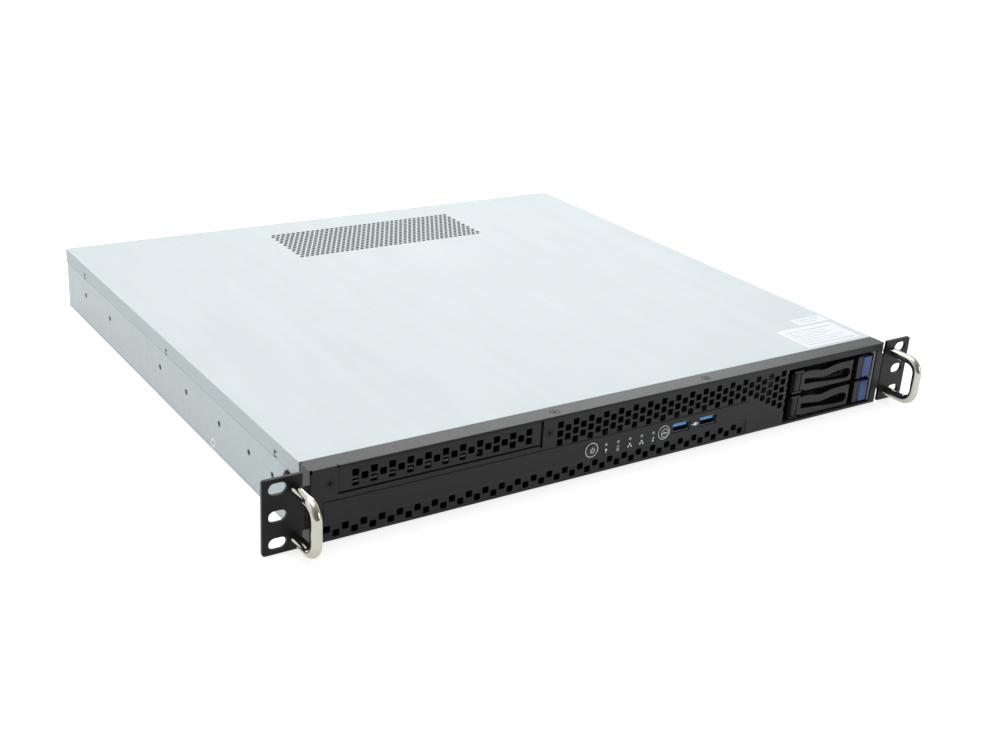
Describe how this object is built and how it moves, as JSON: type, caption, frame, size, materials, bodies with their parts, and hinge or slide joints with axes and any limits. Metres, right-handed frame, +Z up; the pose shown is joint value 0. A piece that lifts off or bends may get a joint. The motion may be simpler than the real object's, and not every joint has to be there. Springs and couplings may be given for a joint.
{
  "type": "rack server",
  "caption": "One rack unit server: flat zinc case with black perforated front, chrome handles on rack ears, control row and hot-swap drive caddies.",
  "frame": {"origin": "centre of the underside of the bounding box, handles and ears included", "axes": "+X to the right seen from the front, +Y to the rear, +Z up"},
  "size_m": [0.4826, 0.429, 0.0438],
  "materials": {
    "zinc_sheet": "plain zinc-coated sheet, fine matt",
    "cover_sheet": "plain zinc-coated sheet, fine matt",
    "bezel_paint": "black fine-texture powder coat",
    "ear_paint": "black fine-texture powder coat",
    "handle_chrome": "polished",
    "black_screw": "black oxide",
    "zinc_screw": "zinc plated",
    "board_green": "solder mask",
    "board_black": "solder mask",
    "black_plastic": "satin",
    "button_plastic": "satin",
    "light_pipe": "clear frosted",
    "port_steel": "nickel plated",
    "usb_blue": "moulded",
    "cage_steel": "plain zinc-coated sheet",
    "caddy_plastic": "satin",
    "lever_plastic": "satin",
    "tab_blue": "moulded",
    "drive_case": "cast and machined",
    "rotor_plastic": "satin",
    "heatsink_metal": "extruded",
    "pin_steel": "ground",
    "label_paper": "white sticker"
  },
  "bodies": {
    "chassis": {"backplane_sockets": "black_plastic", "bezel_screws": "black_screw", "board_screws": "zinc_screw", "board_sockets": "black_plastic", "board_standoffs": "zinc_screw", "chassis_tray": "zinc_sheet", "chipset_heatsink": "heatsink_metal", "control_board": "board_black", "control_switches": "black_plastic", "cover_label": "label_paper", "cover_screws": "zinc_screw", "cpu_heatsink": "heatsink_metal", "drive_backplane": "board_black", "drive_cage": "cage_steel", "ear_screws": "black_screw", "fan_bracket": "zinc_sheet", "fan_frames": "black_plastic", "front_bezel": "bezel_paint", "handle_screws": "zinc_screw", "io_shield": "zinc_sheet", "led_light_pipes": "light_pipe", "left_ear": "ear_paint", "left_handle": "handle_chrome", "memory_modules": "board_green", "motherboard": "board_green", "power_inlet": "black_plastic", "psu_board": "board_green", "psu_case": "zinc_sheet", "psu_cover": "zinc_sheet", "psu_fan_frame": "black_plastic", "rear_ports": "port_steel", "right_ear": "ear_paint", "right_handle": "handle_chrome", "riser_card": "board_green", "side_screws": "zinc_screw", "slim_bay_panel": "bezel_paint", "slim_bay_tray": "zinc_sheet", "slot_cover": "zinc_sheet", "top_cover": "cover_sheet", "usb_shells": "port_steel", "usb_tongues": "usb_blue"},
    "power_button": {"power_button": "button_plastic"},
    "reset_button": {"reset_button": "button_plastic"},
    "lower_caddy_unit": {"lower_caddy": "caddy_plastic", "lower_drive": "drive_case", "lower_drive_screws": "zinc_screw", "lower_lever_pin": "pin_steel"},
    "lower_lever": {"lower_caddy_lever": "lever_plastic"},
    "lower_tab": {"lower_release_tab": "tab_blue"},
    "upper_caddy_unit": {"upper_caddy": "caddy_plastic", "upper_drive": "drive_case", "upper_drive_screws": "zinc_screw", "upper_lever_pin": "pin_steel"},
    "upper_lever": {"upper_caddy_lever": "lever_plastic"},
    "upper_tab": {"upper_release_tab": "tab_blue"},
    "fan_rotor_1": {"fan_rotor_1": "rotor_plastic"},
    "fan_rotor_2": {"fan_rotor_2": "rotor_plastic"},
    "fan_rotor_3": {"fan_rotor_3": "rotor_plastic"},
    "fan_rotor_4": {"fan_rotor_4": "rotor_plastic"},
    "psu_fan_rotor": {"psu_fan_rotor": "rotor_plastic"}
  },
  "joints": [
    {"name": "power_button_press", "type": "slide", "parent": "chassis", "child": "power_button", "axis": [0, 1, 0], "range_m": [0, 0.0008], "stiffness_N_per_m": 600},
    {"name": "reset_button_press", "type": "slide", "parent": "chassis", "child": "reset_button", "axis": [0, 1, 0], "range_m": [0, 0.0008], "stiffness_N_per_m": 600},
    {"name": "lower_caddy_slide", "type": "slide", "parent": "chassis", "child": "lower_caddy_unit", "axis": [0, -1, 0], "range_m": [0, 0.105]},
    {"name": "lower_lever_hinge", "type": "hinge", "parent": "lower_caddy_unit", "child": "lower_lever", "pos_m": [0.1378, -0.1819, 0.0104], "axis": [0, 0, -1], "range_deg": [0, 65]},
    {"name": "lower_tab_press", "type": "slide", "parent": "lower_caddy_unit", "child": "lower_tab", "axis": [0, 1, 0], "range_m": [0, 0.002], "stiffness_N_per_m": 400},
    {"name": "upper_caddy_slide", "type": "slide", "parent": "chassis", "child": "upper_caddy_unit", "axis": [0, -1, 0], "range_m": [0, 0.105]},
    {"name": "upper_lever_hinge", "type": "hinge", "parent": "upper_caddy_unit", "child": "upper_lever", "pos_m": [0.1378, -0.1819, 0.0283], "axis": [0, 0, -1], "range_deg": [0, 65]},
    {"name": "upper_tab_press", "type": "slide", "parent": "upper_caddy_unit", "child": "upper_tab", "axis": [0, 1, 0], "range_m": [0, 0.002], "stiffness_N_per_m": 400},
    {"name": "fan_1_spin", "type": "hinge", "parent": "chassis", "child": "fan_rotor_1", "pos_m": [-0.042, -0.0485, 0.02145], "axis": [0, 1, 0], "continuous": true},
    {"name": "fan_2_spin", "type": "hinge", "parent": "chassis", "child": "fan_rotor_2", "pos_m": [0.003, -0.0485, 0.02145], "axis": [0, 1, 0], "continuous": true},
    {"name": "fan_3_spin", "type": "hinge", "parent": "chassis", "child": "fan_rotor_3", "pos_m": [0.048, -0.0485, 0.02145], "axis": [0, 1, 0], "continuous": true},
    {"name": "fan_4_spin", "type": "hinge", "parent": "chassis", "child": "fan_rotor_4", "pos_m": [0.093, -0.0485, 0.02145], "axis": [0, 1, 0], "continuous": true},
    {"name": "psu_fan_spin", "type": "hinge", "parent": "chassis", "child": "psu_fan_rotor", "pos_m": [-0.136, 0.19762, 0.02135], "axis": [0, 1, 0], "continuous": true}
  ]
}
